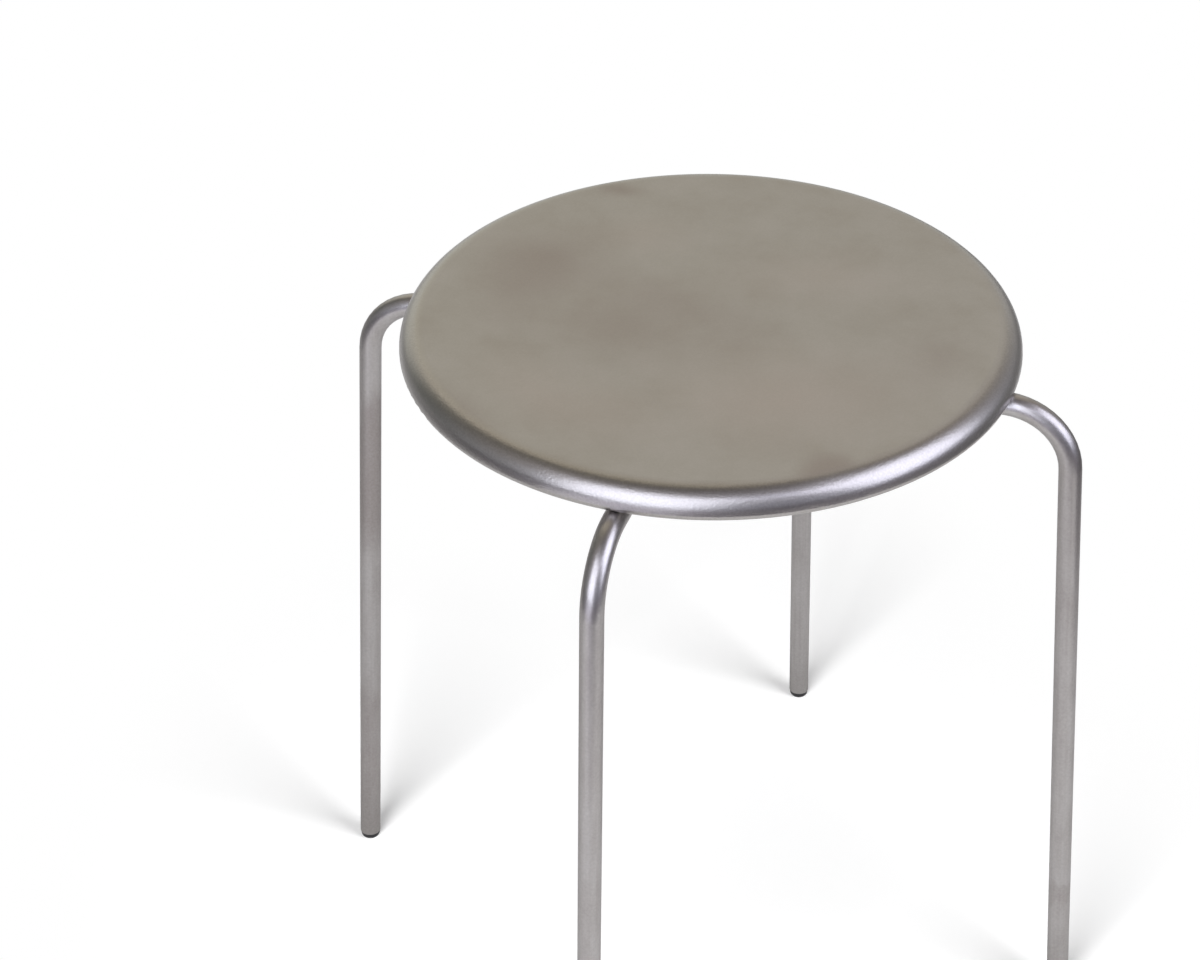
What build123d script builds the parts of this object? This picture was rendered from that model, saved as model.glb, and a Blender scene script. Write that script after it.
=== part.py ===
from build123d import *
from math import radians, sin, cos, sqrt, tan
import os

# Stacking stool in stainless steel: a sheet-clad round seat on a welded cross of bent tube.
# Millimetres, +Z up, origin on the floor under the middle of the seat.
# The left and right legs lie along X, the front and back legs along Y.

# Overall sizes
seat_height = 460.0
seat_diameter = 360.0

# Seat: a pressed pan over a board, closed below by a disc that the pan's lip holds
pan_sheet = 1.0
rim_lower_radius = 4.1      # outside radius where the rim turns under
lip_width = 10.0            # flat return of the rim under the base disc
core_thickness = 15.0
glue_line = 0.1
base_sheet = 1.0

# Legs: round tube, bent once under the rim
tube_diameter = 13.5
tube_wall = 1.5
bend_radius = 39.0          # of the tube's centre line
bend_inset = 4.0            # the bend starts this far inside the rim
leg_splay = 3.3             # degrees from upright
tube_end_round = 0.4
weld_bead_radius = 1.6
weld_gap_at_top = 2.5       # the bead stops this far below the tubes' top, clear of the seat

# Fixings: one screw up through each arm of the cross into the board
screw_reach = 120.0         # from the stool's axis
screw_diameter = 5.0
screw_clearance = 0.5       # on the diameter of every hole that a screw passes
screw_engagement = 8.3      # length of screw inside its insert
screw_head_diameter = 9.5
screw_head_height = 2.75
screw_head_edge = 0.6       # upright edge of the domed head
screw_socket = 3.0          # across flats
screw_socket_depth = 1.6
washer_diameter = 11.0
washer_thickness = 1.2      # under the tube's lowest line
washer_wrap = 2.0           # how far the saddle reaches up beside the tube
spacer_length = 26.0
spacer_wrap = 3.0
spacer_corner = 3.0
insert_diameter = 8.0
insert_length = 10.0
insert_edge = 0.4
thread_clearance = 0.1      # on the diameter, as threads are drawn plain
drill_point_room = 1.0      # depth of the board's holes past the inserts

# Glides: plastic inserts in the tube ends
glide_land = 1.05           # how far the head covers the tube's end face
glide_height = 4.8
glide_edge_radius = 3.0
glide_stem_length = 16.0
glide_stem_wall = 1.35      # depth of the ribs over the stem
glide_rib_clearance = 0.1
glide_rib_thickness = 1.4
glide_rib_pitch = 4.0
glide_ribs = 3

# Heights, from the top of the seat down
seat_radius = seat_diameter / 2
seat_thickness = pan_sheet + glue_line + core_thickness + base_sheet + pan_sheet
rim_upper_radius = seat_thickness - rim_lower_radius
rim_height = seat_height - rim_upper_radius
core_top = seat_height - pan_sheet - glue_line
core_bottom = core_top - core_thickness
base_bottom = core_bottom - base_sheet
tube_radius = tube_diameter / 2
bore_radius = tube_radius - tube_wall
tube_top = seat_height - seat_thickness
tube_axis = tube_top - tube_radius
tube_bottom = tube_top - tube_diameter
head_seat = tube_bottom - washer_thickness

# Reaches, from the stool's axis outwards
lip_outer_radius = seat_radius - rim_lower_radius
lip_inner_radius = lip_outer_radius - lip_width
core_radius = seat_radius - pan_sheet - glue_line
bend_start = seat_radius - bend_inset
corner_reach = bend_start + bend_radius * tan(radians((90 - leg_splay) / 2))

screw_hole_diameter = screw_diameter + screw_clearance
screw_length = core_bottom - head_seat + screw_engagement
arms = {"right": 0, "back": 90, "left": 180, "front": 270}

os.makedirs("parts", exist_ok=True)


def write_node(piece, name):
    piece.label = name
    export_step(piece, f"parts/{name}.step")


def outward(angle):
    return Vector(1, 0, 0).rotate(Axis.Z, angle)


def leg_reach(height):
    """Distance of a straight leg's centre line from the stool's axis at a height."""
    return corner_reach + (tube_axis - height) * tan(radians(leg_splay))


def upright(angle, reach=0.0, height=0.0):
    """Upright plane along an arm: local X points outwards, local Y up."""
    out = outward(angle)
    return Plane(origin=out * reach + Vector(0, 0, height), x_dir=out, z_dir=out.cross(Vector(0, 0, 1)))


def level(angle, reach, height):
    """Level plane at a point under an arm, with local X pointing outwards."""
    out = outward(angle)
    return Plane(origin=out * reach + Vector(0, 0, height), x_dir=out, z_dir=(0, 0, 1))


def across(angle, reach=0.0):
    """Plane square to an arm's tube, centred on the tube."""
    out = outward(angle)
    return Plane(origin=out * reach + Vector(0, 0, tube_axis), z_dir=out)


def upright_axis(angle, reach):
    return Axis(outward(angle) * reach, (0, 0, 1))


# Seat pan: flat top, a wide upper edge, a tight lower edge and a flat lip turned under
with BuildPart() as seat_pan:
    with BuildSketch(Plane.XZ):
        with BuildLine():
            outer_top = Line((0, seat_height), (seat_radius - rim_upper_radius, seat_height))
            outer_edge = TangentArc(outer_top @ 1, (seat_radius, rim_height), tangent=outer_top % 1)
            under_edge = TangentArc(outer_edge @ 1, (lip_outer_radius, tube_top), tangent=outer_edge % 1)
            Line(under_edge @ 1, (lip_inner_radius, tube_top))
            Line((lip_inner_radius, tube_top), (lip_inner_radius, base_bottom))
            lip_top = Line((lip_inner_radius, base_bottom), (lip_outer_radius, base_bottom))
            inner_under = TangentArc(
                lip_top @ 1, (seat_radius - pan_sheet, rim_height), tangent=lip_top % 1)
            inner_edge = TangentArc(
                inner_under @ 1,
                (seat_radius - rim_upper_radius, seat_height - pan_sheet),
                tangent=inner_under % 1,
            )
            Line(inner_edge @ 1, (0, seat_height - pan_sheet))
            Line((0, seat_height - pan_sheet), (0, seat_height))
        make_face()
    revolve(axis=Axis.Z)
write_node(seat_pan.part, "seat_pan")

# Seat core: the board inside the pan, shaped to the rim, with blind holes for the inserts
with BuildPart() as seat_core:
    with BuildSketch(Plane.XZ):
        with BuildLine():
            core_face = Line((0, core_top), (seat_radius - rim_upper_radius, core_top))
            core_edge = TangentArc(core_face @ 1, (core_radius, rim_height), tangent=core_face % 1)
            lower_edge = TangentArc(
                core_edge @ 1,
                (core_radius - (rim_height - core_bottom), core_bottom),
                tangent=core_edge % 1,
            )
            Line(lower_edge @ 1, (0, core_bottom))
            Line((0, core_bottom), (0, core_top))
        make_face()
    revolve(axis=Axis.Z)
    with BuildSketch(Plane.XY.offset(core_bottom)):
        with PolarLocations(screw_reach, len(arms)):
            Circle(insert_diameter / 2)
    extrude(amount=insert_length + drill_point_room, mode=Mode.SUBTRACT)
write_node(seat_core.part, "seat_core")

# Base disc: closes the underside and rests on the lip
with BuildPart() as base_disc:
    with BuildSketch(Plane.XY.offset(base_bottom)):
        Circle(lip_outer_radius)
        with PolarLocations(screw_reach, len(arms)):
            Circle(screw_hole_diameter / 2, mode=Mode.SUBTRACT)
    extrude(amount=base_sheet)
write_node(base_disc.part, "base_disc")

# Leg loop: the left and right legs, one tube bent into an upside-down U
with BuildPart() as leg_loop:
    with BuildLine(upright(arms["right"])) as loop_path:
        FilletPolyline(
            (-leg_reach(0), 0),
            (-corner_reach, tube_axis),
            (corner_reach, tube_axis),
            (leg_reach(0), 0),
            radius=bend_radius,
        )
    with BuildSketch(Plane(origin=loop_path.line @ 0, z_dir=loop_path.line % 0)):
        Circle(tube_radius)
        Circle(bore_radius, mode=Mode.SUBTRACT)
    sweep()
    split(bisect_by=Plane.XY.offset(glide_height), keep=Keep.TOP)
    tube_ends = leg_loop.faces().group_by(Axis.Z)[0]
    fillet([edge for face in tube_ends for edge in face.outer_wire().edges()], tube_end_round)
    with BuildSketch(Plane.XY.offset(tube_axis)):
        with Locations((screw_reach, 0), (-screw_reach, 0)):
            Circle(screw_hole_diameter / 2)
    extrude(amount=tube_diameter, both=True, mode=Mode.SUBTRACT)
write_node(leg_loop.part, "leg_loop")


# Front and back legs: the same bend, coped at the inner end to sit against the loop
def single_leg(name):
    angle = arms[name]
    with BuildPart() as leg:
        with BuildLine(upright(angle)) as leg_path:
            FilletPolyline(
                (0, tube_axis), (corner_reach, tube_axis), (leg_reach(0), 0), radius=bend_radius)
        with BuildSketch(Plane(origin=leg_path.line @ 0, z_dir=leg_path.line % 0)):
            Circle(tube_radius)
            Circle(bore_radius, mode=Mode.SUBTRACT)
        sweep()
        split(bisect_by=Plane.XY.offset(glide_height), keep=Keep.TOP)
        tube_end = leg.faces().sort_by(Axis.Z)[0]
        fillet(tube_end.outer_wire().edges(), tube_end_round)
        with BuildSketch(across(arms["right"])):
            Circle(tube_radius)
        extrude(amount=tube_diameter, both=True, mode=Mode.SUBTRACT)
        with BuildSketch(level(angle, screw_reach, tube_axis)):
            Circle(screw_hole_diameter / 2)
        extrude(amount=tube_diameter, both=True, mode=Mode.SUBTRACT)
    write_node(leg.part, f"leg_{name}")


# Welds: a round bead along each coped end. Two equal tubes at right angles meet along half ellipses,
# which stand in the upright planes at 45 degrees to both tubes.
def cross_weld(name):
    angle = arms[name]
    with BuildPart() as weld:
        for side in (-45, 45):
            with BuildLine(upright(angle + side, 0, tube_axis)) as seam:
                EllipticalCenterArc(
                    (0, 0), tube_radius * sqrt(2), tube_radius, start_angle=-90, arc_size=180)
            with BuildSketch(Plane(origin=seam.line @ 0, z_dir=seam.line % 0)):
                Circle(weld_bead_radius)
            sweep(path=seam.line)
        for tube in (angle, arms["right"]):
            with BuildSketch(across(tube)):
                Circle(tube_radius)
            extrude(amount=2 * tube_diameter, both=True, mode=Mode.SUBTRACT)
        split(bisect_by=Plane.XY.offset(tube_top - weld_gap_at_top), keep=Keep.BOTTOM)
        split(bisect_by=Plane(origin=(0, 0, 0), z_dir=outward(angle)), keep=Keep.TOP)
    write_node(weld.part, f"weld_{name}")


for leg_name in ("front", "back"):
    single_leg(leg_name)
    cross_weld(leg_name)


# Spacer: flat against the base disc, hollowed below to take the round tube
def saddle_spacer(name):
    angle = arms[name]
    with BuildPart() as spacer:
        with BuildSketch(level(angle, screw_reach, base_bottom)):
            RectangleRounded(spacer_length, tube_diameter, spacer_corner)
            Circle(screw_hole_diameter / 2, mode=Mode.SUBTRACT)
        extrude(amount=-(base_bottom - tube_top + spacer_wrap))
        with BuildSketch(across(angle, screw_reach)):
            Circle(tube_radius)
        extrude(amount=spacer_length, both=True, mode=Mode.SUBTRACT)
    write_node(spacer.part, f"spacer_{name}")


# Washer: flat under the screw head, hollowed above to take the round tube
def saddle_washer(name):
    angle = arms[name]
    with BuildPart() as washer:
        with BuildSketch(level(angle, screw_reach, head_seat)):
            Circle(washer_diameter / 2)
            Circle(screw_hole_diameter / 2, mode=Mode.SUBTRACT)
        extrude(amount=washer_thickness + washer_wrap)
        with BuildSketch(across(angle, screw_reach)):
            Circle(tube_radius)
        extrude(amount=washer_diameter, both=True, mode=Mode.SUBTRACT)
    write_node(washer.part, f"washer_{name}")


# Screw: domed button head with a hexagon socket
def frame_screw(name):
    angle = arms[name]
    dome_top = screw_head_diameter / 2 - (screw_head_height - screw_head_edge)
    with BuildPart() as screw:
        with BuildSketch(upright(angle, screw_reach, head_seat)):
            with BuildLine():
                seat_line = Line((0, 0), (screw_head_diameter / 2, 0))
                edge_line = Line(seat_line @ 1, (screw_head_diameter / 2, -screw_head_edge))
                dome = TangentArc(edge_line @ 1, (dome_top, -screw_head_height), tangent=edge_line % 1)
                Line(dome @ 1, (0, -screw_head_height))
                Line((0, -screw_head_height), (0, 0))
            make_face()
        revolve(axis=upright_axis(angle, screw_reach))
        with BuildSketch(level(angle, screw_reach, head_seat)):
            Circle(screw_diameter / 2)
        extrude(amount=screw_length)
        with BuildSketch(level(angle, screw_reach, head_seat - screw_head_height)):
            RegularPolygon(screw_socket / 2, 6, major_radius=False)
        extrude(amount=screw_socket_depth, mode=Mode.SUBTRACT)
    write_node(screw.part, f"screw_{name}")


# Insert: threaded bush in the board, its lower end level with the board's underside
def threaded_insert(name):
    angle = arms[name]
    with BuildPart() as insert:
        with BuildSketch(level(angle, screw_reach, core_bottom)):
            Circle(insert_diameter / 2)
            Circle((screw_diameter + thread_clearance) / 2, mode=Mode.SUBTRACT)
        extrude(amount=insert_length)
        top_face = insert.faces().sort_by(Axis.Z)[-1]
        chamfer(top_face.outer_wire().edges(), insert_edge)
    write_node(insert.part, f"insert_{name}")


# Glide: a round-edged head under the tube's end and a ribbed stem along the leg's slant
def foot_glide(name):
    angle = arms[name]
    slant = radians(leg_splay)
    leg_up = outward(angle) * -sin(slant) + Vector(0, 0, cos(slant))
    reach = leg_reach(glide_height)
    stem_plane = Plane(origin=outward(angle) * reach + Vector(0, 0, glide_height), z_dir=leg_up)
    with BuildPart() as glide:
        with BuildSketch(level(angle, reach, 0)):
            Circle(bore_radius + glide_land)
        extrude(amount=glide_height)
        fillet(glide.edges().sort_by(Axis.Z)[0], glide_edge_radius)
        with BuildSketch(stem_plane.offset(-glide_height / 2)):
            Circle(bore_radius - glide_stem_wall)
        extrude(amount=glide_stem_length + glide_height / 2)
        for rib in range(1, glide_ribs + 1):
            with BuildSketch(stem_plane.offset(rib * glide_rib_pitch)):
                Circle(bore_radius - glide_rib_clearance)
            extrude(amount=glide_rib_thickness)
    write_node(glide.part, f"glide_{name}")


for arm in arms:
    saddle_spacer(arm)
    saddle_washer(arm)
    frame_screw(arm)
    threaded_insert(arm)
    foot_glide(arm)
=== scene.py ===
import bmesh
import bpy
from math import asin, cos, pi, radians, sin, sqrt, tan
from mathutils import Matrix, Quaternion, Vector


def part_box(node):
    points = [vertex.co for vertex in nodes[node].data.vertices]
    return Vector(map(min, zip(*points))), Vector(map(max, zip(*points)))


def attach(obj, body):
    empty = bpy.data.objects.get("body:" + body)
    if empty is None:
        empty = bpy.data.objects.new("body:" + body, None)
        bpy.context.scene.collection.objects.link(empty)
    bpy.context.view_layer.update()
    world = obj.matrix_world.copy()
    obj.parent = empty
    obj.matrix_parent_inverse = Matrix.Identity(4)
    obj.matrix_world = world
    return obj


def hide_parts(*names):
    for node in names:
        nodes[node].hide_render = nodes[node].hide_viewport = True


# The looks of a stacking stool in stainless steel: finishes for every piece, a studio and the camera.
# Metres, +Z up. The left and right legs lie along X, the front and back legs along Y.

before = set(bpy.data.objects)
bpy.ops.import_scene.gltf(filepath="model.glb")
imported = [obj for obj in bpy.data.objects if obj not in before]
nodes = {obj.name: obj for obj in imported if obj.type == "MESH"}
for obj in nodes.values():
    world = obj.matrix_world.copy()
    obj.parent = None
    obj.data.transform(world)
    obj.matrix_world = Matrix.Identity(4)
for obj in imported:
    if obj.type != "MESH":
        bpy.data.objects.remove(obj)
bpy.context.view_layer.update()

# Sizes read from the frame
seat_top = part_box("seat_pan")[1].z
seat_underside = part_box("seat_pan")[0].z
tube_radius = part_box("leg_front")[1].x
tube_axis = seat_underside - tube_radius
screw_reach = (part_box("screw_right")[0].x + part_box("screw_right")[1].x) / 2
foot_reach = (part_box("glide_right")[0].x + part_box("glide_right")[1].x) / 2
weld_radius = tube_axis - tube_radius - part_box("weld_front")[0].z
weld_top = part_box("weld_front")[1].z

# How far the legs slant outwards
leg_splay = radians(3.3)

# Camera: where it stands, how far it turns from looking along +Y, and its tilt and roll
camera_place = Vector((0.4206, -1.4195, 1.3709))
camera_turn = radians(19.011)
camera_down = radians(34.712)
camera_roll = radians(-0.709)
camera_lens = 90.19
camera_sensor = 36.0


def linear(hex_colour):
    """Linear colour, with alpha, of an sRGB hex value."""
    parts = [int(hex_colour[i:i + 2], 16) / 255 for i in (1, 3, 5)]
    return [p / 12.92 if p <= 0.04045 else ((p + 0.055) / 1.055) ** 2.4 for p in parts] + [1.0]


def per_metre(millimetres):
    """Pattern scale that gives features of a real size."""
    return 1000.0 / millimetres


def add(tree, kind, inputs=None, stops=None, **settings):
    """Adds a node: its settings, each input's value or the output that feeds it, and a ramp's stops."""
    node = tree.nodes.new(kind)
    for name, value in settings.items():
        setattr(node, name, value)
    for name, value in (inputs or {}).items():
        if isinstance(value, bpy.types.NodeSocket):
            tree.links.new(value, node.inputs[name])
        else:
            node.inputs[name].default_value = value
    if stops:
        ramp = node.color_ramp
        while len(ramp.elements) < len(stops):
            ramp.elements.new(0.5)
        for element, (place, colour) in zip(ramp.elements, stops):
            element.position = place
            element.color = colour
    return node


def new_material(name, metallic=0.0):
    """An empty material with its shader and the stool's own coordinates."""
    material = bpy.data.materials.new(name)
    material.use_nodes = True
    tree = material.node_tree
    tree.nodes.clear()
    shader = add(tree, "ShaderNodeBsdfPrincipled", {"Metallic": metallic})
    add(tree, "ShaderNodeOutputMaterial", {"Surface": shader.outputs["BSDF"]})
    coords = add(tree, "ShaderNodeTexCoord").outputs["Object"]
    return material, tree, shader, coords


def finish_with(tree, shader, colour, roughness, normal):
    """Feeds the three patterned inputs of a shader."""
    tree.links.new(colour, shader.inputs["Base Color"])
    tree.links.new(roughness, shader.inputs["Roughness"])
    tree.links.new(normal, shader.inputs["Normal"])


def along_arms(tree, coords):
    """A point's X, Y and Z, how far out it lies along the nearest arm of the cross, and how far beside it."""
    place = add(tree, "ShaderNodeSeparateXYZ", {"Vector": coords})
    x, y, z = place.outputs["X"], place.outputs["Y"], place.outputs["Z"]
    far_x = add(tree, "ShaderNodeMath", {0: x}, operation="ABSOLUTE").outputs[0]
    far_y = add(tree, "ShaderNodeMath", {0: y}, operation="ABSOLUTE").outputs[0]
    outward = add(tree, "ShaderNodeMath", {0: far_x, 1: far_y}, operation="MAXIMUM").outputs[0]
    sideways = add(tree, "ShaderNodeMath", {0: far_x, 1: far_y}, operation="MINIMUM").outputs[0]
    return x, y, z, outward, sideways


def mirrored_rays(tree, path):
    """1 for what steel mirrors or glass lets through, and 0 for all else."""
    return add(tree, "ShaderNodeMath", {
        0: path.outputs["Is Glossy Ray"], 1: path.outputs["Is Transmission Ray"]},
        operation="ADD", use_clamp=True).outputs[0]


# Marks that hands have left on the seat: place in mm, size across and along in mm, turn in degrees, strength
seat_smudges = [
    (-114, 36, 62, 52, 25, 0.50),
    (-122, -4, 40, 60, 0, 0.28),
    (-42, -22, 100, 76, 10, 0.42),
    (-28, 14, 62, 26, 165, 0.16),
    (26, -20, 30, 50, 0, 0.14),
    (-95, 126, 20, 14, 0, 0.60),
    (134, -4, 34, 44, 8, 0.36),
    (102, -128, 24, 17, 35, 0.90),
    (-101, -134, 42, 16, 145, 0.35),
]
# Paler places that cloths have rubbed clean, given in the same way
seat_rubs = [
    (64, -70, 120, 80, 20, 0.48),
    (-60, -108, 90, 46, 150, 0.40),
    (50, 62, 90, 52, 15, 0.32),
    (-70, 76, 50, 34, 20, 0.32),
]


def satin_sheet_steel():
    """Stainless steel sheet, pressed over a former and rubbed with fine abrasive to an even satin.

    The satin blurs the studio lights into soft bands whose edges break up into fine grain. Use has worn the
    flat top more matt and a little paler than the rim, and hands leave faint, warmer, duller smudges on it.
    """
    rim_roughness = 0.31
    top_roughness = 0.56
    smudge_roughness = 0.03
    rim_grain = 0.36
    top_grain = 0.10
    grain_depth = 0.0003
    shoulder_drop = 0.0008
    flat_drop = 0.00004
    mark_drift = 0.018
    mark_depth = 0.02
    full_mark = 0.7
    material, tree, shader, coords = new_material("stainless_sheet_satin", metallic=1.0)
    # 0 on the rim and 1 on the flat top
    height = add(tree, "ShaderNodeSeparateXYZ", {"Vector": coords}).outputs["Z"]
    flat = add(tree, "ShaderNodeMapRange", {
        "Value": height, "From Min": seat_top - shoulder_drop,
        "From Max": seat_top - flat_drop}).outputs["Result"]
    # Wiping leaves clouds about 45 mm across
    clouds = add(tree, "ShaderNodeTexNoise", {
        "Vector": coords, "Scale": per_metre(45), "Detail": 6.0, "Roughness": 0.62})
    tone = add(tree, "ShaderNodeValToRGB", {"Fac": clouds.outputs["Fac"]}, stops=[
        (0.30, linear("#B0ABA5")), (0.5, linear("#B5B1AC")), (0.70, linear("#B9B5B1"))])
    # The marks' outlines wander by about 5 mm
    drift = add(tree, "ShaderNodeTexNoise", {"Vector": coords, "Scale": per_metre(60), "Detail": 2.0})
    wander = add(tree, "ShaderNodeVectorMath", {
        0: drift.outputs["Color"], 1: (-0.5, -0.5, -0.5)}, operation="ADD")
    strayed = add(tree, "ShaderNodeVectorMath", {
        0: wander.outputs["Vector"], 1: (mark_drift, mark_drift, 0.0), 2: coords}, operation="MULTIPLY_ADD")
    soft_sums = []
    for places in (seat_smudges, seat_rubs):
        total = 0.0
        for x, y, across, along, turn, strength in places:
            placed = add(tree, "ShaderNodeMapping", {
                "Vector": strayed.outputs["Vector"], "Location": (x / 1000, y / 1000, seat_top),
                "Rotation": (0.0, 0.0, radians(turn)), "Scale": (across / 1000, along / 1000, mark_depth)},
                vector_type="TEXTURE")
            spot = add(tree, "ShaderNodeTexGradient", {
                "Vector": placed.outputs["Vector"]}, gradient_type="SPHERICAL")
            total = add(tree, "ShaderNodeMath", {
                0: spot.outputs["Fac"], 1: strength, 2: total}, operation="MULTIPLY_ADD").outputs[0]
        soft_sums.append(add(tree, "ShaderNodeMapRange", {"Value": total, "From Max": full_mark},
                             interpolation_type="SMOOTHSTEP").outputs["Result"])
    smudges, rubs = soft_sums
    rubbed = add(tree, "ShaderNodeMix", {
        0: rubs, 6: tone.outputs["Color"], 7: linear("#BBB3AE")}, data_type="RGBA")
    smudged = add(tree, "ShaderNodeMix", {
        0: smudges, 6: rubbed.outputs[2], 7: linear("#AAA29C")}, data_type="RGBA")
    steel = add(tree, "ShaderNodeMix", {
        0: flat, 6: linear("#ABA7A5"), 7: smudged.outputs[2]}, data_type="RGBA")
    # Real satin grain is about 0.1 mm. It is drawn at 1.2 mm, so that it shows, and stronger on the rim.
    grain = add(tree, "ShaderNodeTexNoise", {"Vector": coords, "Scale": per_metre(1.2), "Detail": 2.0})
    grain_strength = add(tree, "ShaderNodeMapRange", {
        "Value": flat, "To Min": rim_grain, "To Max": top_grain}).outputs["Result"]
    speckled = add(tree, "ShaderNodeMix", {
        0: grain_strength, 6: steel.outputs[2], 7: grain.outputs["Fac"]},
        data_type="RGBA", blend_type="SOFT_LIGHT")
    bump = add(tree, "ShaderNodeBump", {
        "Strength": grain_strength, "Height": grain.outputs["Fac"], "Distance": grain_depth})
    satin = add(tree, "ShaderNodeMapRange", {
        "Value": flat, "To Min": rim_roughness, "To Max": top_roughness}).outputs["Result"]
    rough = add(tree, "ShaderNodeMath", {
        0: smudges, 1: smudge_roughness, 2: satin}, operation="MULTIPLY_ADD")
    finish_with(tree, shader, speckled.outputs[2], rough.outputs[0], bump.outputs["Normal"])
    return material


def rolled_sheet_steel():
    """Stainless steel sheet as the mill rolled it, cut to a disc.

    Duller and greyer than the rubbed satin, with faint straight rolling lines all in one direction.
    """
    material, tree, shader, coords = new_material("stainless_sheet_mill_rolled", metallic=1.0)
    # Rolling lines are finer than 0.1 mm. They are drawn 1.2 mm apart, so that they show.
    drawn_out = add(tree, "ShaderNodeMapping", {
        "Vector": coords, "Scale": (per_metre(120), per_metre(1.2), per_metre(20))})
    lines = add(tree, "ShaderNodeTexNoise", {
        "Vector": drawn_out.outputs["Vector"], "Scale": 1.0, "Detail": 3.0})
    patches = add(tree, "ShaderNodeTexNoise", {"Vector": coords, "Scale": per_metre(60), "Detail": 3.0})
    streaky = add(tree, "ShaderNodeMix", {0: 0.45, 2: patches.outputs["Fac"], 3: lines.outputs["Fac"]})
    tone = add(tree, "ShaderNodeValToRGB", {"Fac": streaky.outputs[0]}, stops=[
        (0.3, linear("#969492")), (0.5, linear("#9F9D9B")), (0.7, linear("#A7A5A2"))])
    rough = add(tree, "ShaderNodeMapRange", {
        "Value": streaky.outputs[0], "From Min": 0.3, "From Max": 0.7, "To Min": 0.44, "To Max": 0.36})
    bump = add(tree, "ShaderNodeBump", {"Height": lines.outputs["Fac"], "Distance": 0.00001})
    finish_with(tree, shader, tone.outputs["Color"], rough.outputs["Result"], bump.outputs["Normal"])
    # The rolled skin mirrors a little less where it is seen edge-on
    shader.inputs["Specular Tint"].default_value = linear("#E0E0E0")
    return material


# The four arms of the cross, in the order that the tubes' pattern numbers them
arm_order = ["left", "front", "back", "right"]
# Darker patches on the legs: the leg, its height on the leg in mm, half its length in mm, strength.
# The low one on the left leg is painted shade, for the darker floor that leg mirrors near its foot.
leg_patches = [
    ("left", 306, 54, 0.65),
    ("left", 60, 80, 0.35),
    ("right", 350, 75, 0.25),
    ("right", 85, 12, 0.30),
]


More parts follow.
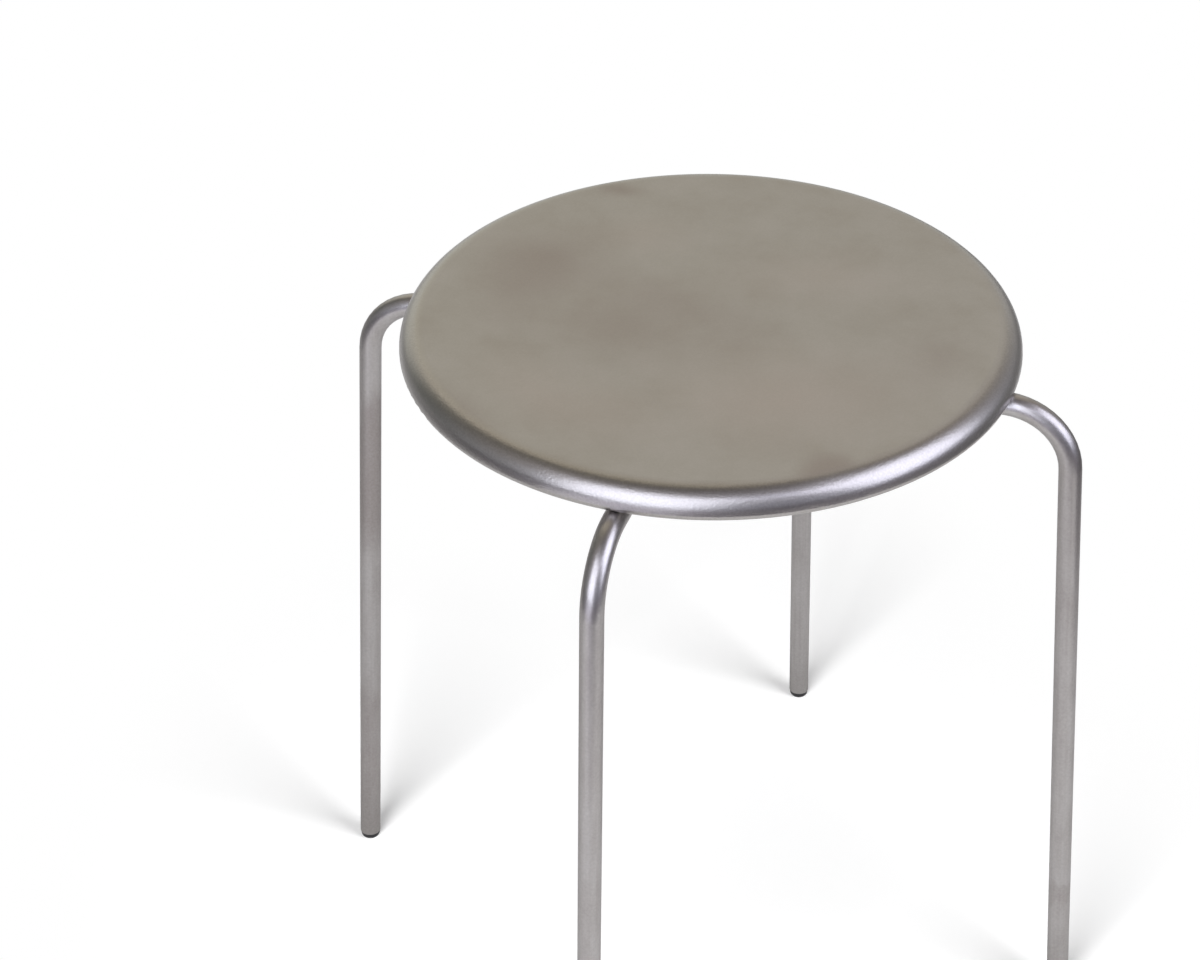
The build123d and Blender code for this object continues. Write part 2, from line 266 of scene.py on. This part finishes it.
def satin_tube_steel():
    """Stainless steel tube, drawn, bent and belted along its length to the rim's satin.

    The belt leaves faint lengthwise streaks. Wiping leaves cloudy stains. Painted shade darkens the legs near
    the feet, where they mirror the shadowed floor. The four arms share one pattern, laid along each arm and
    shifted so that no two look the same.
    """
    streak_width = per_metre(1.6)
    streak_length = per_metre(70)
    stain_width = per_metre(12)
    stain_length = per_metre(35)
    arm_shift = 7.3
    bend_start = 0.030
    bend_end = 0.005
    patch_fray = 0.06
    patch_core = 0.6
    patch_end = 1.3
    streak_share = 0.4
    streak_depth = 0.15
    foot_shade_low = 0.004
    foot_shade_high = 0.060
    grain_strength = 0.24
    surface_depth = 0.00005
    material, tree, shader, coords = new_material("stainless_tube_satin", metallic=1.0)
    x, y, z, outward, sideways = along_arms(tree, coords)
    # A different number for each arm: 0 left, 1 front, 2 back, 3 right
    sum_xy = add(tree, "ShaderNodeMath", {0: x, 1: y}, operation="ADD").outputs[0]
    first = add(tree, "ShaderNodeMath", {0: sum_xy, 1: 0.0}, operation="GREATER_THAN").outputs[0]
    second = add(tree, "ShaderNodeMath", {0: x, 1: y}, operation="GREATER_THAN").outputs[0]
    arm = add(tree, "ShaderNodeMath", {0: first, 1: 2.0, 2: second}, operation="MULTIPLY_ADD").outputs[0]
    shift = add(tree, "ShaderNodeMath", {0: arm, 1: arm_shift}, operation="MULTIPLY").outputs[0]
    # Straight down the leg: the slant is taken out, then the pattern is drawn out along the tube
    square = add(tree, "ShaderNodeMath", {
        0: z, 1: tan(leg_splay), 2: outward}, operation="MULTIPLY_ADD").outputs[0]
    down_leg = add(tree, "ShaderNodeCombineXYZ", {"X": square, "Y": sideways, "Z": z})
    # Belt scratches are about 0.1 mm wide. They are drawn at 1.6 mm, so that they show.
    leg_streaks = add(tree, "ShaderNodeTexNoise", {
        "Vector": add(tree, "ShaderNodeMapping", {
            "Vector": down_leg.outputs["Vector"],
            "Scale": (streak_width, streak_width, streak_length)}).outputs["Vector"],
        "W": shift, "Scale": 1.0, "Detail": 3.0}, noise_dimensions="4D")
    along_arm = add(tree, "ShaderNodeCombineXYZ", {"X": outward, "Y": sideways, "Z": z})
    arm_streaks = add(tree, "ShaderNodeTexNoise", {
        "Vector": add(tree, "ShaderNodeMapping", {
            "Vector": along_arm.outputs["Vector"],
            "Scale": (streak_length, streak_width, streak_width)}).outputs["Vector"],
        "W": shift, "Scale": 1.0, "Detail": 3.0}, noise_dimensions="4D")
    in_arm = add(tree, "ShaderNodeMapRange", {
        "Value": z, "From Min": tube_axis - bend_start, "From Max": tube_axis - bend_end})
    streaks = add(tree, "ShaderNodeMix", {
        0: in_arm.outputs["Result"], 2: leg_streaks.outputs["Fac"], 3: arm_streaks.outputs["Fac"]}).outputs[0]
    # Wiping stains are about 12 mm wide and 35 mm long
    stains = add(tree, "ShaderNodeTexNoise", {
        "Vector": add(tree, "ShaderNodeMapping", {
            "Vector": down_leg.outputs["Vector"],
            "Scale": (stain_width, stain_width, stain_length)}).outputs["Vector"],
        "W": shift, "Scale": 1.0, "Detail": 3.0, "Roughness": 0.55}, noise_dimensions="4D")
    cloudy = add(tree, "ShaderNodeMix", {0: streak_share, 2: stains.outputs["Fac"], 3: streaks}).outputs[0]
    tone = add(tree, "ShaderNodeValToRGB", {"Fac": cloudy}, stops=[
        (0.32, linear("#A6A1A0")), (0.5, linear("#AFABAA")), (0.68, linear("#B6B3B3"))])
    # The patches end in ragged edges, about 10 mm either way
    ragged = add(tree, "ShaderNodeMath", {
        0: stains.outputs["Fac"], 1: patch_fray, 2: z}, operation="MULTIPLY_ADD").outputs[0]
    patches = 0.0
    for leg, height, half, strength in leg_patches:
        on_leg = add(tree, "ShaderNodeMath", {
            0: arm, 1: float(arm_order.index(leg)), 2: 0.5}, operation="COMPARE").outputs[0]
        off = add(tree, "ShaderNodeMath", {
            0: ragged, 1: height / 1000 + patch_fray / 2}, operation="SUBTRACT").outputs[0]
        off = add(tree, "ShaderNodeMath", {0: off}, operation="ABSOLUTE").outputs[0]
        patch = add(tree, "ShaderNodeMapRange", {
            "Value": off, "From Min": patch_core * half / 1000, "From Max": patch_end * half / 1000,
            "To Min": strength, "To Max": 0.0}, interpolation_type="SMOOTHSTEP")
        patches = add(tree, "ShaderNodeMath", {
            0: on_leg, 1: patch.outputs["Result"], 2: patches}, operation="MULTIPLY_ADD").outputs[0]
    patched = add(tree, "ShaderNodeMix", {
        0: patches, 6: tone.outputs["Color"], 7: linear("#928A88")}, data_type="RGBA")
    # Painted shade: the last 60 mm above the floor are darkened, where the legs mirror the shadowed floor
    foot_shade = add(tree, "ShaderNodeMapRange", {
        "Value": z, "From Min": foot_shade_low, "From Max": foot_shade_high, "To Min": 0.55, "To Max": 0.0})
    foot_shaded = add(tree, "ShaderNodeMix", {
        0: foot_shade.outputs["Result"], 6: patched.outputs[2], 7: linear("#8E8A87")}, data_type="RGBA")
    # Real satin grain is about 0.1 mm. It is drawn at 1.5 mm, so that it shows.
    grain = add(tree, "ShaderNodeTexNoise", {"Vector": coords, "Scale": per_metre(1.5), "Detail": 2.0})
    speckled = add(tree, "ShaderNodeMix", {
        0: grain_strength, 6: foot_shaded.outputs[2], 7: grain.outputs["Fac"]},
        data_type="RGBA", blend_type="SOFT_LIGHT")
    rough = add(tree, "ShaderNodeMapRange", {
        "Value": cloudy, "From Min": 0.3, "From Max": 0.7, "To Min": 0.37, "To Max": 0.32})
    surface = add(tree, "ShaderNodeMath", {
        0: streaks, 1: streak_depth, 2: grain.outputs["Fac"]}, operation="MULTIPLY_ADD")
    bump = add(tree, "ShaderNodeBump", {"Height": surface.outputs[0], "Distance": surface_depth})
    finish_with(tree, shader, speckled.outputs[2], rough.outputs["Result"], bump.outputs["Normal"])
    # The satin mirrors a little less where it is seen edge-on
    shader.inputs["Specular Tint"].default_value = linear("#E0E0E0")
    return material


def welded_bead_steel():
    """Stainless steel weld bead, run with a torch and left unground.

    The heat left straw, brown and blue tints, and a thin, slightly grainy oxide skin.
    """
    material, tree, shader, coords = new_material("stainless_weld_bead", metallic=1.0)
    tint = add(tree, "ShaderNodeTexNoise", {"Vector": coords, "Scale": per_metre(6), "Detail": 2.0})
    tone = add(tree, "ShaderNodeValToRGB", {"Fac": tint.outputs["Fac"]}, stops=[
        (0.30, linear("#7F8496")), (0.42, linear("#8E8A8C")),
        (0.52, linear("#9A9694")), (0.68, linear("#A8987C"))])
    # The oxide's grain is about 0.05 mm. It is drawn at 0.4 mm, so that it shows.
    oxide = add(tree, "ShaderNodeTexNoise", {"Vector": coords, "Scale": per_metre(0.4), "Detail": 2.0})
    rough = add(tree, "ShaderNodeMapRange", {"Value": oxide.outputs["Fac"], "To Min": 0.42, "To Max": 0.28})
    bump = add(tree, "ShaderNodeBump", {"Height": oxide.outputs["Fac"], "Distance": 0.00002})
    finish_with(tree, shader, tone.outputs["Color"], rough.outputs["Result"], bump.outputs["Normal"])
    return material


def sanded_birch_board():
    """Birch plywood, sanded: pale veneers with crossing grain, seen as stripes on its edge."""
    material, tree, shader, coords = new_material("birch_plywood_sanded")
    height = add(tree, "ShaderNodeSeparateXYZ", {"Vector": coords}).outputs["Z"]
    # Veneers are 1.5 mm thick, so a pair of crossed ones repeats each 3 mm. The wave has 20 radians a unit.
    veneer_pair = per_metre(3.0) * 2 * pi / 20
    veneers = add(tree, "ShaderNodeTexWave", {
        "Vector": add(tree, "ShaderNodeCombineXYZ", {"X": height}).outputs["Vector"],
        "Scale": veneer_pair, "Distortion": 0.3, "Detail Scale": 1.0}, wave_profile="SIN")
    grain = add(tree, "ShaderNodeTexNoise", {
        "Vector": add(tree, "ShaderNodeMapping", {
            "Vector": coords, "Scale": (per_metre(60), per_metre(1.5), per_metre(1.5))}).outputs["Vector"],
        "Scale": 1.0, "Detail": 4.0})
    wood = add(tree, "ShaderNodeMix", {0: 0.5, 2: veneers.outputs["Fac"], 3: grain.outputs["Fac"]})
    tone = add(tree, "ShaderNodeValToRGB", {"Fac": wood.outputs[0]}, stops=[
        (0.25, linear("#B48C5C")), (0.5, linear("#CDAA78")), (0.75, linear("#DCBF92"))])
    rough = add(tree, "ShaderNodeMapRange", {"Value": grain.outputs["Fac"], "To Min": 0.75, "To Max": 0.6})
    bump = add(tree, "ShaderNodeBump", {"Height": grain.outputs["Fac"], "Distance": 0.00008})
    finish_with(tree, shader, tone.outputs["Color"], rough.outputs["Result"], bump.outputs["Normal"])
    return material


def spark_textured_plastic():
    """Black polyamide, moulded against a spark-eroded tool, which gives an even fine matt."""
    material, tree, shader, coords = new_material("polyamide_black_moulded_matt")
    # The tool's texture is about 0.05 mm. It is drawn at 0.8 mm, so that it shows.
    texture = add(tree, "ShaderNodeTexNoise", {"Vector": coords, "Scale": per_metre(0.8), "Detail": 2.0})
    tone = add(tree, "ShaderNodeValToRGB", {"Fac": texture.outputs["Fac"]}, stops=[
        (0.3, linear("#1D1D1F")), (0.7, linear("#27272A"))])
    rough = add(tree, "ShaderNodeMapRange", {"Value": texture.outputs["Fac"], "To Min": 0.68, "To Max": 0.55})
    bump = add(tree, "ShaderNodeBump", {"Height": texture.outputs["Fac"], "Distance": 0.00004})
    finish_with(tree, shader, tone.outputs["Color"], rough.outputs["Result"], bump.outputs["Normal"])
    return material


def floor_scuffed_plastic():
    """Black polyethylene, moulded smooth, greyed where it slides on the floor."""
    material, tree, shader, coords = new_material("polyethylene_black_moulded_scuffed")
    height = add(tree, "ShaderNodeSeparateXYZ", {"Vector": coords}).outputs["Z"]
    # Scuffs are scratches about 0.5 mm wide
    scuffs = add(tree, "ShaderNodeTexNoise", {
        "Vector": add(tree, "ShaderNodeMapping", {
            "Vector": coords, "Rotation": (0.0, 0.0, 0.6),
            "Scale": (per_metre(3), per_metre(0.5), per_metre(1))}).outputs["Vector"],
        "Scale": 1.0, "Detail": 3.0})
    tone = add(tree, "ShaderNodeValToRGB", {"Fac": scuffs.outputs["Fac"]}, stops=[
        (0.3, linear("#151416")), (0.7, linear("#201E21"))])
    worn = add(tree, "ShaderNodeMapRange", {
        "Value": height, "From Min": 0.0002, "From Max": 0.0012,
        "To Min": 0.7, "To Max": 0.0}).outputs["Result"]
    worn = add(tree, "ShaderNodeMath", {0: worn, 1: scuffs.outputs["Fac"]}, operation="MULTIPLY").outputs[0]
    greyed = add(tree, "ShaderNodeMix", {
        0: worn, 6: tone.outputs["Color"], 7: linear("#55534F")}, data_type="RGBA")
    rough = add(tree, "ShaderNodeMapRange", {"Value": worn, "From Max": 0.5, "To Min": 0.42, "To Max": 0.8})
    bump = add(tree, "ShaderNodeBump", {"Height": scuffs.outputs["Fac"], "Distance": 0.00002})
    finish_with(tree, shader, greyed.outputs[2], rough.outputs["Result"], bump.outputs["Normal"])
    return material


def cold_headed_steel():
    """Stainless screws and washers, cold-formed and tumbled: bright, with faint rings round the screw."""
    material, tree, shader, coords = new_material("stainless_cold_headed", metallic=1.0)
    outward, sideways = along_arms(tree, coords)[3:]
    from_screw = add(tree, "ShaderNodeVectorMath", {
        0: add(tree, "ShaderNodeCombineXYZ", {"X": outward, "Y": sideways}).outputs["Vector"],
        1: (screw_reach, 0.0, 0.0)}, operation="DISTANCE").outputs["Value"]
    # Forming rings are about 0.1 mm apart. They are drawn 0.8 mm apart, so that they show.
    rings = add(tree, "ShaderNodeTexNoise", {
        "Vector": add(tree, "ShaderNodeCombineXYZ", {"X": from_screw}).outputs["Vector"],
        "Scale": per_metre(0.8), "Detail": 2.0})
    tone = add(tree, "ShaderNodeValToRGB", {"Fac": rings.outputs["Fac"]}, stops=[
        (0.3, linear("#A9A7A4")), (0.7, linear("#BAB8B5"))])
    rough = add(tree, "ShaderNodeMapRange", {"Value": rings.outputs["Fac"], "To Min": 0.34, "To Max": 0.22})
    bump = add(tree, "ShaderNodeBump", {"Height": rings.outputs["Fac"], "Distance": 0.00002})
    finish_with(tree, shader, tone.outputs["Color"], rough.outputs["Result"], bump.outputs["Normal"])
    return material


def turned_brass():
    """Brass bush, turned on a lathe, which leaves fine rings up its side."""
    material, tree, shader, coords = new_material("brass_turned", metallic=1.0)
    height = add(tree, "ShaderNodeSeparateXYZ", {"Vector": coords}).outputs["Z"]
    # The tool's feed is about 0.1 mm a turn. It is drawn at 0.6 mm, so that it shows.
    rings = add(tree, "ShaderNodeTexNoise", {
        "Vector": add(tree, "ShaderNodeCombineXYZ", {"X": height}).outputs["Vector"],
        "Scale": per_metre(0.6), "Detail": 2.0})
    tone = add(tree, "ShaderNodeValToRGB", {"Fac": rings.outputs["Fac"]}, stops=[
        (0.3, linear("#B8935A")), (0.7, linear("#CDA96B"))])
    rough = add(tree, "ShaderNodeMapRange", {"Value": rings.outputs["Fac"], "To Min": 0.4, "To Max": 0.25})
    bump = add(tree, "ShaderNodeBump", {"Height": rings.outputs["Fac"], "Distance": 0.00003})
    finish_with(tree, shader, tone.outputs["Color"], rough.outputs["Result"], bump.outputs["Normal"])
    return material


fastener = cold_headed_steel()
finishes = {
    "seat_pan": satin_sheet_steel(),
    "seat_core": sanded_birch_board(),
    "base_disc": rolled_sheet_steel(),
    "leg": satin_tube_steel(),
    "weld": welded_bead_steel(),
    "spacer": spark_textured_plastic(),
    "washer": fastener,
    "screw": fastener,
    "insert": turned_brass(),
    "glide": floor_scuffed_plastic(),
}
for name, node in nodes.items():
    node.material_slots[0].material = finishes.get(name) or finishes[name.split("_")[0]]


def weld_bead(name, angle):
    """A bead along a coped leg's two seams, laid drop by drop, so that it is a row of overlapping ripples.

    Equal tubes that cross meet along half ellipses, upright and at 45 degrees to both tubes.
    """
    pitch = 0.0009
    ripple_depth = 0.14
    crescent = 0.55
    end_taper = 0.0012
    end_size = 0.35
    steps = 140
    sides = 16
    up = Vector((0.0, 0.0, 1.0))
    last_turn = asin((weld_top - weld_radius - tube_axis) / tube_radius)
    work = bmesh.new()
    for side in (-45, 45):
        out = Vector((cos(radians(angle + side)), sin(radians(angle + side)), 0.0))
        level = up.cross(out)
        turns = [-pi / 2 + (last_turn + pi / 2) * i / steps for i in range(steps + 1)]
        line = [
            up * (tube_axis + tube_radius * sin(turn)) + out * (tube_radius * sqrt(2) * cos(turn))
            for turn in turns]
        run = [0.0]
        for before, after in zip(line, line[1:]):
            run.append(run[-1] + (after - before).length)
        rings = []
        for turn, centre, along in zip(turns, line, run):
            tangent = (up * cos(turn) - out * (sqrt(2) * sin(turn))).normalized()
            crown = level.cross(tangent)
            taper = min(1.0, end_size + (1.0 - end_size) * (run[-1] - along) / end_taper)
            ring = []
            for i in range(sides):
                round_bead = 2 * pi * i / sides
                drop = abs(sin(pi * (along / pitch + crescent * cos(round_bead))))
                radius = weld_radius * taper * (1.0 - ripple_depth * (1.0 - drop))
                ring.append(work.verts.new(
                    centre + crown * (radius * cos(round_bead)) + level * (radius * sin(round_bead))))
            rings.append(ring)
        for lower, upper in zip(rings, rings[1:]):
            for i in range(sides):
                j = (i + 1) % sides
                work.faces.new((lower[i], lower[j], upper[j], upper[i]))
        work.faces.new(rings[0])
        work.faces.new(rings[-1])
    bmesh.ops.recalc_face_normals(work, faces=work.faces)
    for face in work.faces:
        face.smooth = len(face.verts) == 4
    mesh = bpy.data.meshes.new("weld_bead_" + name)
    work.to_mesh(mesh)
    work.free()
    bead = bpy.data.objects.new("weld_bead_" + name, mesh)
    bpy.context.scene.collection.objects.link(bead)
    mesh.materials.append(finishes["weld"])
    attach(bead, "root")
    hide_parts("weld_" + name)


weld_bead("front", 270)
weld_bead("back", 90)


# What the camera sees far behind the paper and round it
backdrop_colour = linear("#DEDEDE")


def studio_floor():
    """White paper that sweeps back to a pale grey. The steel mirrors a sheet of it on a darker floor."""
    floor_radius = 9.0
    floor_sides = 96
    sheet_shift = -0.10
    sheet_side = 0.80
    sheet_side_end = 0.88
    sheet_front = -0.77
    sheet_front_end = -0.83
    floor_front = -0.8
    floor_back = 1.3
    side_blend = 0.4
    back_lift = 0.55
    camera_back_share = 0.75
    camera_lift = 0.03
    even_start = 0.1
    even_end = 0.35
    even_tone = 0.945
    white_centre = 0.65
    white_end = 1.0
    grey_start = 2.6
    shadow_side = 0.21
    shadow_back = 0.38
    full_shadow = 0.7
    ring = []
    for i in range(floor_sides):
        turn = 2 * pi * i / floor_sides
        ring.append((floor_radius * cos(turn), floor_radius * sin(turn), 0.0))
    mesh = bpy.data.meshes.new("studio_floor")
    mesh.from_pydata(ring, [], [list(range(floor_sides))])
    floor = bpy.data.objects.new("studio_floor", mesh)
    bpy.context.scene.collection.objects.link(floor)
    material = bpy.data.materials.new("floor_paper_white")
    material.use_nodes = True
    tree = material.node_tree
    tree.nodes.clear()
    coords = add(tree, "ShaderNodeTexCoord").outputs["Object"]
    path = add(tree, "ShaderNodeLightPath")
    to_camera = path.outputs["Is Camera Ray"]
    mirrored = mirrored_rays(tree, path)
    # The mirrored sheet lies square to the camera, 1.7 m wide, and starts 0.8 m in front of the stool
    laid = add(tree, "ShaderNodeMapping", {
        "Vector": coords, "Location": (sheet_shift * cos(camera_turn), sheet_shift * sin(camera_turn), 0.0),
        "Rotation": (0.0, 0.0, camera_turn)}, vector_type="TEXTURE").outputs["Vector"]
    place = add(tree, "ShaderNodeSeparateXYZ", {"Vector": laid})
    right = place.outputs["X"]
    away = place.outputs["Y"]
    across = add(tree, "ShaderNodeMath", {0: right}, operation="ABSOLUTE").outputs[0]
    past_side = add(tree, "ShaderNodeMapRange", {
        "Value": across, "From Min": sheet_side, "From Max": sheet_side_end})
    past_front = add(tree, "ShaderNodeMapRange", {
        "Value": away, "From Min": sheet_front, "From Max": sheet_front_end})
    off_sheet = add(tree, "ShaderNodeMath", {
        0: past_side.outputs["Result"], 1: past_front.outputs["Result"]}, operation="MAXIMUM")
    behind = add(tree, "ShaderNodeMapRange", {
        "Value": away, "From Min": floor_front, "From Max": floor_back}).outputs["Result"]
    to_right = add(tree, "ShaderNodeMapRange", {
        "Value": right, "From Min": -side_blend, "From Max": side_blend}).outputs["Result"]
    left_floor = add(tree, "ShaderNodeMix", {
        0: behind, 6: linear("#66626A"), 7: linear("#B8B8B6")}, data_type="RGBA")
    right_floor = add(tree, "ShaderNodeMix", {
        0: behind, 6: linear("#545056"), 7: linear("#8E8E8C")}, data_type="RGBA")
    bare = add(tree, "ShaderNodeMix", {
        0: to_right, 6: left_floor.outputs[2], 7: right_floor.outputs[2]}, data_type="RGBA")
    mirrored_floor = add(tree, "ShaderNodeMix", {
        0: off_sheet.outputs[0], 6: linear("#E2E2E2"), 7: bare.outputs[2]}, data_type="RGBA")
    # To the camera the paper darkens to the right, because the right key lights it more there
    evened = add(tree, "ShaderNodeMapRange", {
        "Value": right, "From Min": even_start, "From Max": even_end, "To Min": 1.0, "To Max": even_tone})
    tone = add(tree, "ShaderNodeMix", {
        0: to_camera, 6: mirrored_floor.outputs[2], 7: evened.outputs["Result"]}, data_type="RGBA")
    # Away from the lamps the paper is lifted, so that it stays pale to the back wall
    seen = add(tree, "ShaderNodeMath", {
        0: to_camera, 1: camera_back_share, 2: mirrored}, operation="MULTIPLY_ADD")
    far_lift = add(tree, "ShaderNodeMapRange", {
        "Value": away, "From Min": 0.0, "From Max": floor_back, "To Min": 0.0, "To Max": back_lift})
    near_lift = add(tree, "ShaderNodeMath", {0: to_camera, 1: camera_lift}, operation="MULTIPLY")
    lift = add(tree, "ShaderNodeMath", {
        0: seen.outputs[0], 1: far_lift.outputs["Result"], 2: near_lift.outputs[0]}, operation="MULTIPLY_ADD")
    lit = add(tree, "ShaderNodeBsdfDiffuse", {"Color": tone.outputs[2]})
    glow = add(tree, "ShaderNodeEmission", {"Color": tone.outputs[2], "Strength": lift.outputs[0]})
    near = add(tree, "ShaderNodeAddShader", {0: lit.outputs["BSDF"], 1: glow.outputs["Emission"]})
    # To the camera the paper is white for 1 m round a point behind the stool, and backdrop grey from 2.6 m
    reach = add(tree, "ShaderNodeVectorMath", {
        0: laid, 1: (-sheet_shift, white_centre, 0.0)}, operation="DISTANCE").outputs["Value"]
    greyer = add(tree, "ShaderNodeMapRange", {
        "Value": reach, "From Min": white_end, "From Max": grey_start}, interpolation_type="SMOOTHSTEP")
    sweep_colour = add(tree, "ShaderNodeMix", {
        0: greyer.outputs["Result"], 6: linear("#FFFFFF"), 7: backdrop_colour}, data_type="RGBA")
    sweep = add(tree, "ShaderNodeEmission", {"Color": sweep_colour.outputs[2], "Strength": 1.0})
    # The shadows show round each foot, and fade out within 0.21 m to its sides and 0.38 m behind it
    nearest = 0.0
    for x, y in ((foot_reach, 0.0), (-foot_reach, 0.0), (0.0, foot_reach), (0.0, -foot_reach)):
        round_foot = add(tree, "ShaderNodeMapping", {
            "Vector": coords, "Location": (x, y, 0.0), "Rotation": (0.0, 0.0, camera_turn),
            "Scale": (shadow_side, shadow_back, 1.0)}, vector_type="TEXTURE")
        spot = add(tree, "ShaderNodeTexGradient", {
            "Vector": round_foot.outputs["Vector"]}, gradient_type="SPHERICAL")
        nearest = add(tree, "ShaderNodeMath", {
            0: spot.outputs["Fac"], 1: nearest}, operation="MAXIMUM").outputs[0]
    clear = add(tree, "ShaderNodeMapRange", {
        "Value": nearest, "From Max": full_shadow, "To Min": 1.0, "To Max": 0.0},
        interpolation_type="SMOOTHSTEP")
    swept = add(tree, "ShaderNodeMath", {0: clear.outputs["Result"], 1: to_camera}, operation="MULTIPLY")
    surface = add(tree, "ShaderNodeMixShader", {
        0: swept.outputs[0], 1: near.outputs["Shader"], 2: sweep.outputs["Emission"]})
    add(tree, "ShaderNodeOutputMaterial", {"Surface": surface.outputs["Shader"]})
    floor.data.materials.append(material)
    return floor


def studio_walls():
    """A pale backdrop to the camera. The steel mirrors a room with a pale wall and a darker ceiling."""
    world = bpy.data.worlds.new("studio_walls")
    bpy.context.scene.world = world
    world.use_nodes = True
    tree = world.node_tree
    tree.nodes.clear()
    coords = add(tree, "ShaderNodeTexCoord").outputs["Generated"]
    turned = add(tree, "ShaderNodeVectorRotate", {"Vector": coords, "Angle": -camera_turn},
                 rotation_type="Z_AXIS").outputs["Vector"]
    bearing = add(tree, "ShaderNodeTexGradient", {"Vector": turned}, gradient_type="RADIAL")
    # Once round the room: the left side, the camera's own side, the right side, the back wall, the left again
    walls = add(tree, "ShaderNodeValToRGB", {"Fac": bearing.outputs["Fac"]}, stops=[
        (0.0, linear("#A2A3A5")),
        (0.07, linear("#ADAEB3")),
        (0.306, linear("#A3A5B3")),
        (0.5, linear("#A6A7B1")),
        (0.583, linear("#A5A5A9")),
        (0.639, linear("#B7B6B3")),
        (0.672, linear("#D9D9D5")),
        (0.722, linear("#EAEBE3")),
        (0.778, linear("#F5F7ED")),
        (0.856, linear("#EFEFE5")),
        (0.875, linear("#DADAD3")),
        (0.892, linear("#81847E")),
        (0.952, linear("#828483")),
        (1.0, linear("#A2A3A5"))])
    height = add(tree, "ShaderNodeSeparateXYZ", {"Vector": turned}).outputs["Z"]
    # From the walls up to straight overhead
    ceiling = add(tree, "ShaderNodeValToRGB", {"Fac": height}, stops=[
        (0.17, linear("#FFFFFF")),
        (0.5, linear("#F8F3EC")),
        (0.65, linear("#FCF3E8")),
        (0.766, linear("#F7EDE2")),
        (0.866, linear("#EFE5D7")),
        (0.94, linear("#DED5C9")),
        (0.985, linear("#ABA296")),
        (1.0, linear("#928A80"))])
    room = add(tree, "ShaderNodeMix", {0: 1.0, 6: walls.outputs["Color"], 7: ceiling.outputs["Color"]},
               data_type="RGBA", blend_type="MULTIPLY")
    # The paper gets only a little of the room's light
    path = add(tree, "ShaderNodeLightPath")
    mirrored = mirrored_rays(tree, path)
    indoors = add(tree, "ShaderNodeMix", {
        0: mirrored, 6: linear("#3C3C3E"), 7: room.outputs[2]}, data_type="RGBA")
    shown = add(tree, "ShaderNodeMix", {
        0: path.outputs["Is Camera Ray"], 6: indoors.outputs[2], 7: backdrop_colour}, data_type="RGBA")
    background = add(tree, "ShaderNodeBackground", {"Color": shown.outputs[2], "Strength": 1.0})
    add(tree, "ShaderNodeOutputWorld", {"Surface": background.outputs["Background"]})


def studio_lamp(name, bearing, height, distance, tilt, shape, width, tall, radiance, colour):
    """A soft lamp on a stand, facing the seat.

    Bearing, counted round the stool from +X, height and tilt are in degrees. Sizes and distance are in
    metres, and radiance is the lamp's own brightness.
    """
    lamp = bpy.data.lights.new(name, "AREA")
    lamp.shape = shape
    lamp.size = width
    lamp.size_y = tall
    lamp.energy = radiance * pi * width * tall * (pi / 4 if shape == "ELLIPSE" else 1.0)
    lamp.color = linear(colour)[:3]
    stand = bpy.data.objects.new(name, lamp)
    bpy.context.scene.collection.objects.link(stand)
    target = Vector((0.0, 0.0, seat_top))
    direction = Vector((cos(radians(bearing)) * cos(radians(height)),
                        sin(radians(bearing)) * cos(radians(height)), sin(radians(height))))
    stand.location = target + direction * distance
    stand.rotation_mode = "QUATERNION"
    stand.rotation_quaternion = direction.to_track_quat("Z", "Y") @ Quaternion((0.0, 0.0, 1.0), radians(tilt))
    stand.visible_camera = False
    return stand


def shine(stand, floor, link_state):
    """Gives a lamp's light to the floor alone, or to all but the floor."""
    lit = bpy.data.collections.new(stand.name + "_light")
    lit.objects.link(floor)
    lit.collection_objects[0].light_linking.link_state = link_state
    stand.light_linking.receiver_collection = lit


floor = studio_floor()
studio_walls()

# Wide softboxes and cards light the stool, and the steel mirrors them.
# Each has its name, bearing, height, distance, tilt, shape, width, upright size, radiance and colour.
for stand in (
    studio_lamp("softbox_left", 263.5, 24, 1.6, -10, "RECTANGLE", 1.45, 1.5, 2.82, "#EBF0FF"),
    studio_lamp("softbox_right", 357, 28, 1.6, 12, "RECTANGLE", 1.45, 1.4, 2.85, "#E9EDFF"),
    studio_lamp("fill_card", 311, 40, 1.7, 0, "RECTANGLE", 0.6, 0.5, 1.0, "#E0E6FF"),
    studio_lamp("bounce_card", 257, -21, 1.15, 0, "RECTANGLE", 0.85, 0.42, 1.0, "#EEEFFF"),
):
    shine(stand, floor, "EXCLUDE")

# Two lamps further off light the paper alone and throw each leg's two soft shadows
for stand in (
    studio_lamp("key_left", 265.5, 12, 4.1, 0, "ELLIPSE", 2.5, 1.7, 34.5, "#FFFFFF"),
    studio_lamp("key_right", 342, 12, 3.1, 0, "ELLIPSE", 2.2, 1.7, 15.2, "#FFFFFF"),
):
    shine(stand, floor, "INCLUDE")

camera_data = bpy.data.cameras.new("camera")
camera_data.lens = camera_lens
camera_data.sensor_width = camera_sensor
camera = bpy.data.objects.new("camera", camera_data)
bpy.context.scene.collection.objects.link(camera)
camera.matrix_world = (
    Matrix.Translation(camera_place)
    @ Matrix.Rotation(camera_turn, 4, "Z")
    @ Matrix.Rotation(pi / 2 - camera_down, 4, "X")
    @ Matrix.Rotation(camera_roll, 4, "Z")
)
bpy.context.scene.camera = camera
bpy.context.scene.view_settings.view_transform = "Standard"
